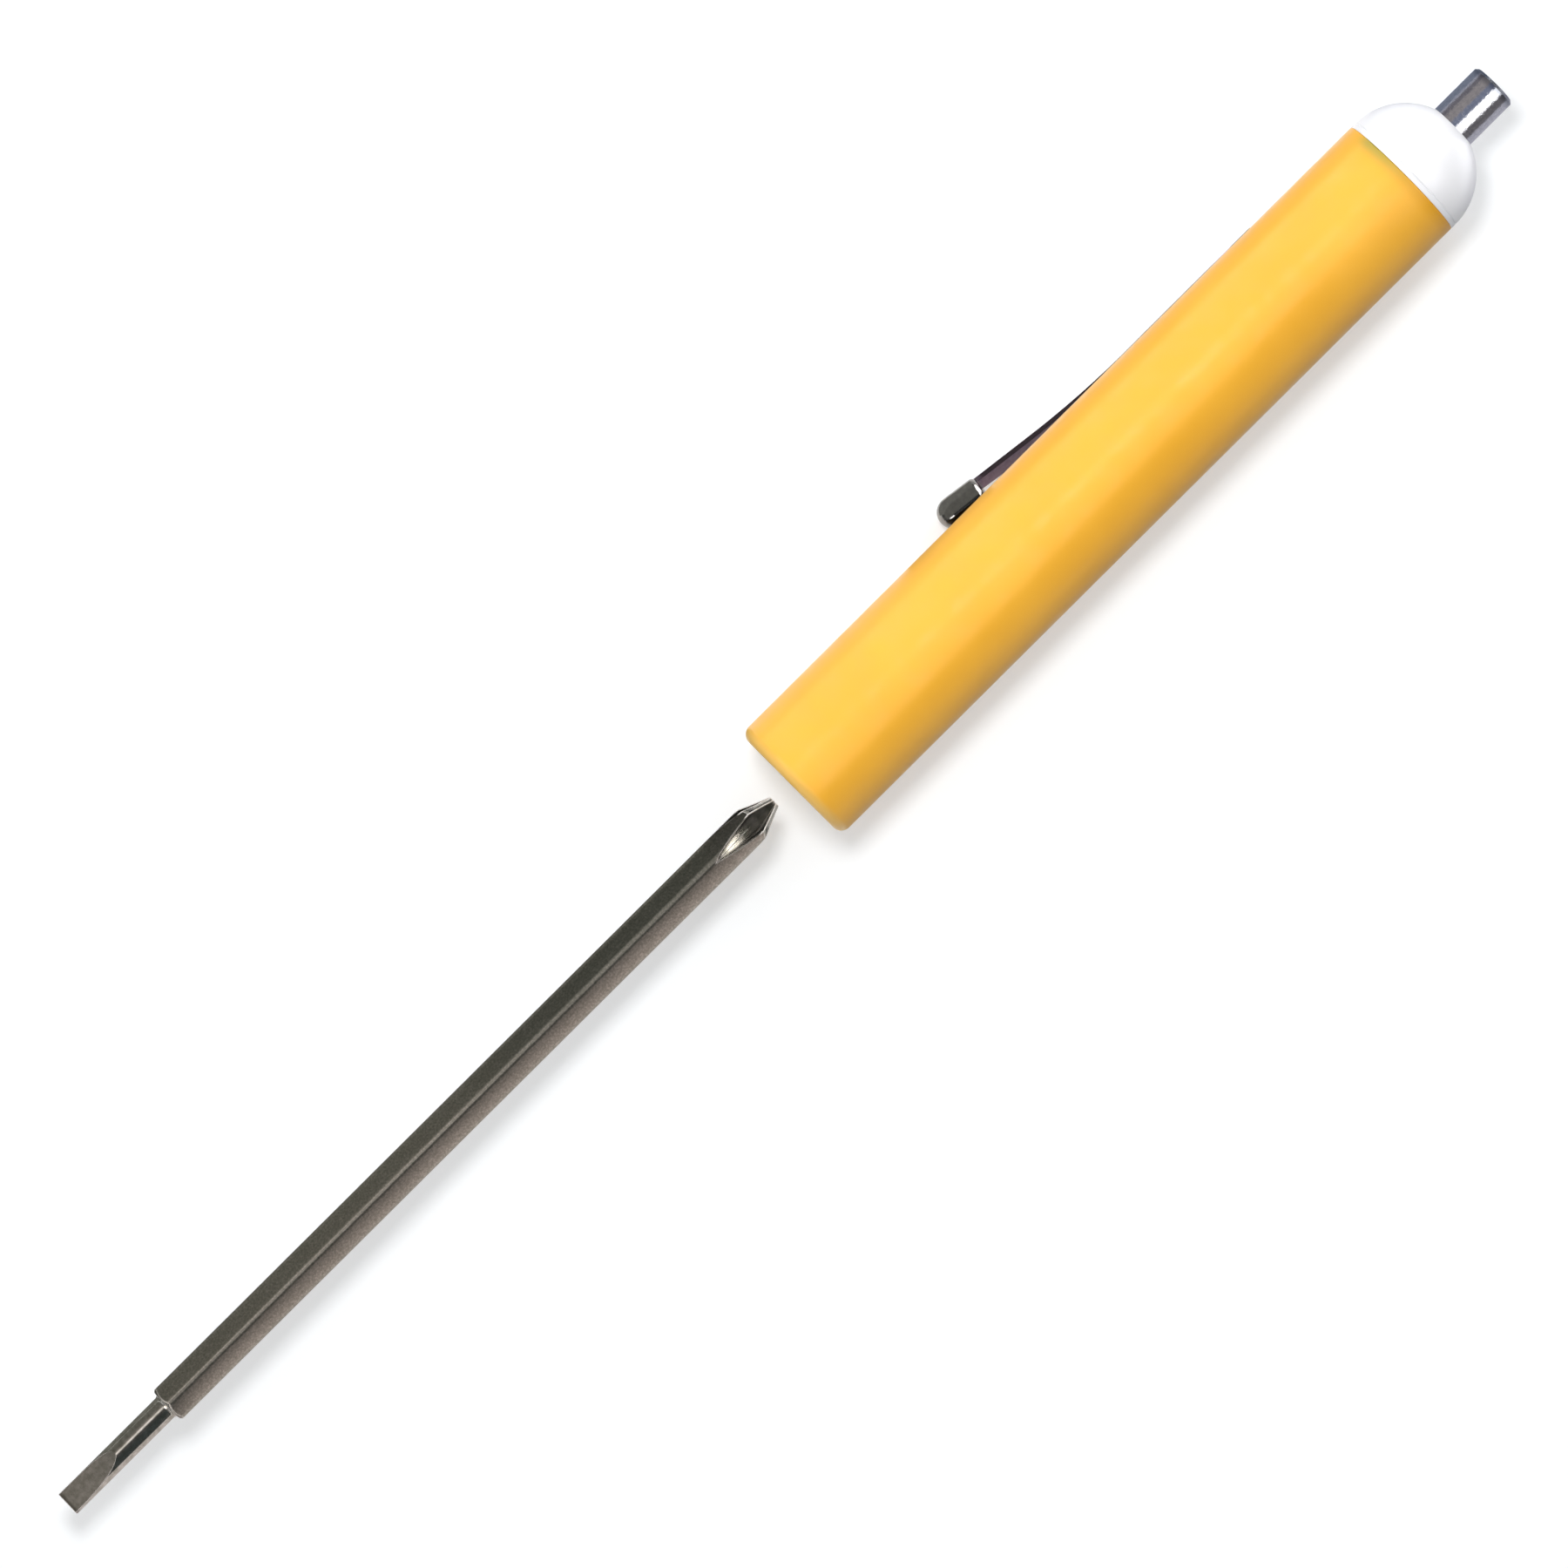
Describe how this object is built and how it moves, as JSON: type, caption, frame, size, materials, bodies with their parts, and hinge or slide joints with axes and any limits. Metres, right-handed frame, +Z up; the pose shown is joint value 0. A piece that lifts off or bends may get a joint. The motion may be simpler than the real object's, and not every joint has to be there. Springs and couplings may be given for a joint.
{
  "type": "pocket screwdriver",
  "caption": "Slim pocket screwdriver with a plastic barrel, a ball-ended pocket clip, a pick-up magnet in a domed cap and a reversible hexagon blade that slides into a socket.",
  "frame": {"origin": "centre of the barrel's mouth, on the tool's axis", "axes": "+X along the tool from the mouth to the magnet, +Z up as the tool lies on a surface, +Y towards the side where the clip lies"},
  "size_m": [0.1796, 0.0149, 0.0126],
  "materials": {
    "barrel_plastic": "smooth moulded yellow plastic",
    "insert_plastic": "plain moulded plastic",
    "spring_steel": "rolled spring steel",
    "cap_plastic": "glossy white plastic",
    "magnet_plating": "bright plating",
    "clip_plating": "bright plating over spring steel",
    "blade_steel": "dark nickel plating over drawn steel"
  },
  "bodies": {
    "handle": {"barrel": "barrel_plastic", "socket_insert": "insert_plastic", "blade_spring": "spring_steel", "end_cap": "cap_plastic", "magnet": "magnet_plating"},
    "blade": {"blade": "blade_steel"},
    "clip": {"pocket_clip": "clip_plating"}
  },
  "joints": [
    {"name": "blade_slide", "type": "slide", "parent": "handle", "child": "blade", "axis": [1, 0, 0], "range_m": [0, 0.046]},
    {"name": "clip_flex", "type": "hinge", "parent": "handle", "child": "clip", "pos_m": [0.064, 0.005, -0.00332], "axis": [0, -0.5539, -0.8326], "range_deg": [0, 5], "stiffness_Nm_per_rad": 1.2}
  ]
}
